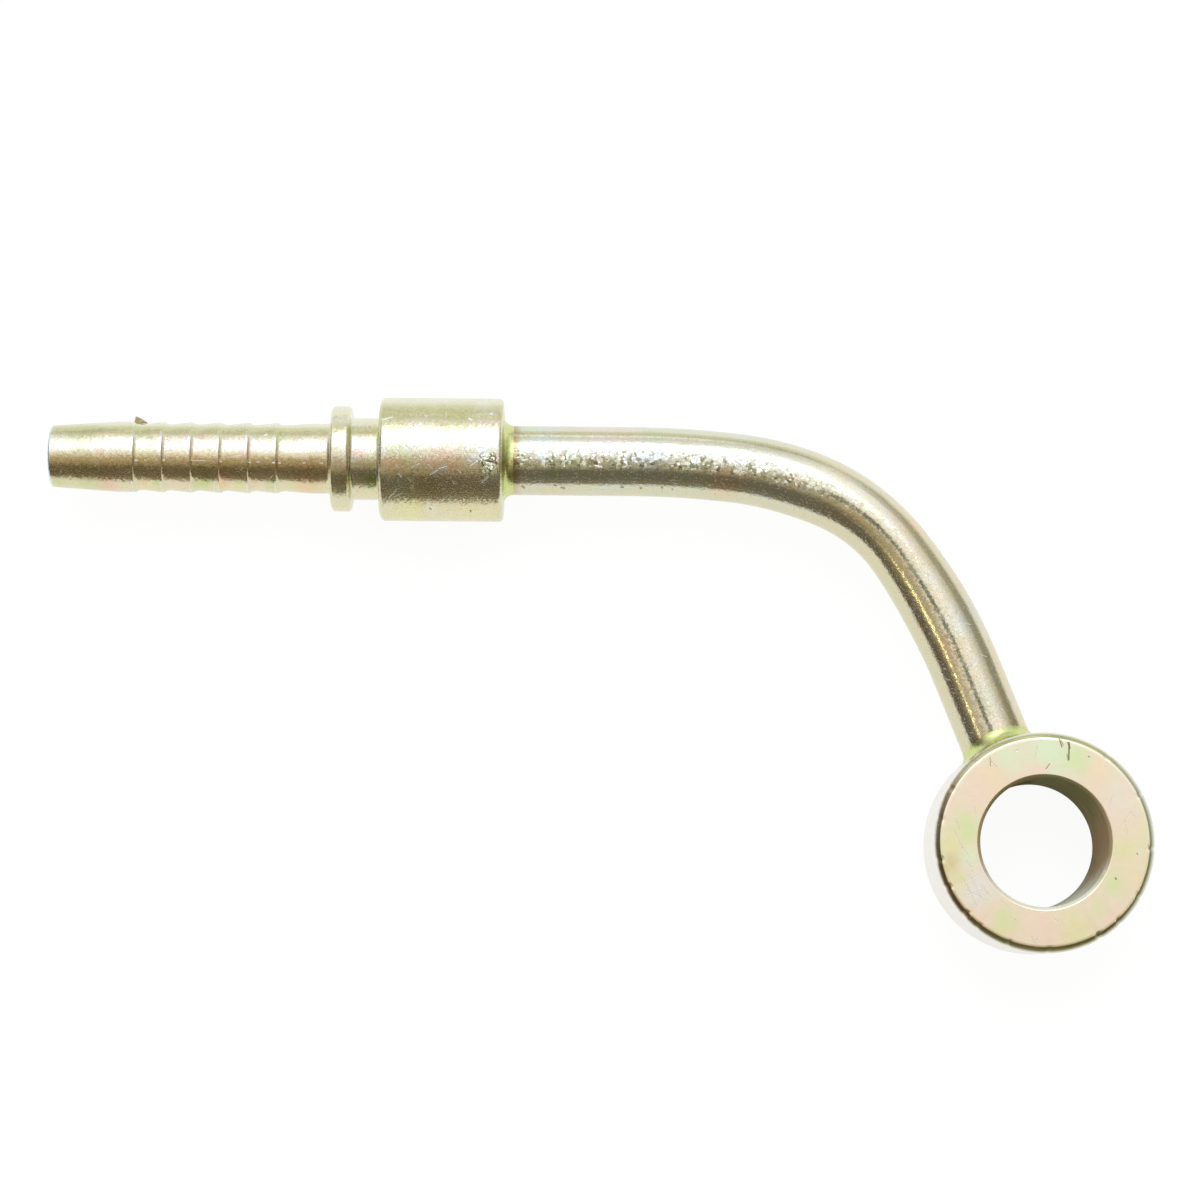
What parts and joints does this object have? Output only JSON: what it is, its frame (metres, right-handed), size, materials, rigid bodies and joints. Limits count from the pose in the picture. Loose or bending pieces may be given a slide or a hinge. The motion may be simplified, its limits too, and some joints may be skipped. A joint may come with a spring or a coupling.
{
  "type": "banjo fitting",
  "caption": "Hydraulic hose banjo fitting: a barbed hose tail with ferrule collar and hub, and a banjo eye, joined by a swept steel tube brazed at both ends.",
  "frame": {"origin": "centre of the banjo eye's bore, halfway through its thickness", "axes": "+Z along the eye's bore; the hose tail's axis is parallel to X, 54.7 mm towards +Y, and its tip points along -X"},
  "size_m": [0.1576, 0.0791, 0.018],
  "materials": {
    "eye_plating": "turned steel, yellow passivated zinc plating with pink and green mottling",
    "tube_plating": "drawn steel, yellow passivated zinc plating, with fine handling dents",
    "tail_plating": "turned steel, yellow passivated zinc plating",
    "braze_plating": "braze fillet, plated over with the rest, yellow green"
  },
  "bodies": {
    "root": {"banjo_eye": "eye_plating", "bent_tube": "tube_plating", "hose_tail": "tail_plating", "hub_braze_fillet": "braze_plating", "eye_braze_fillet": "braze_plating"}
  },
  "joints": []
}
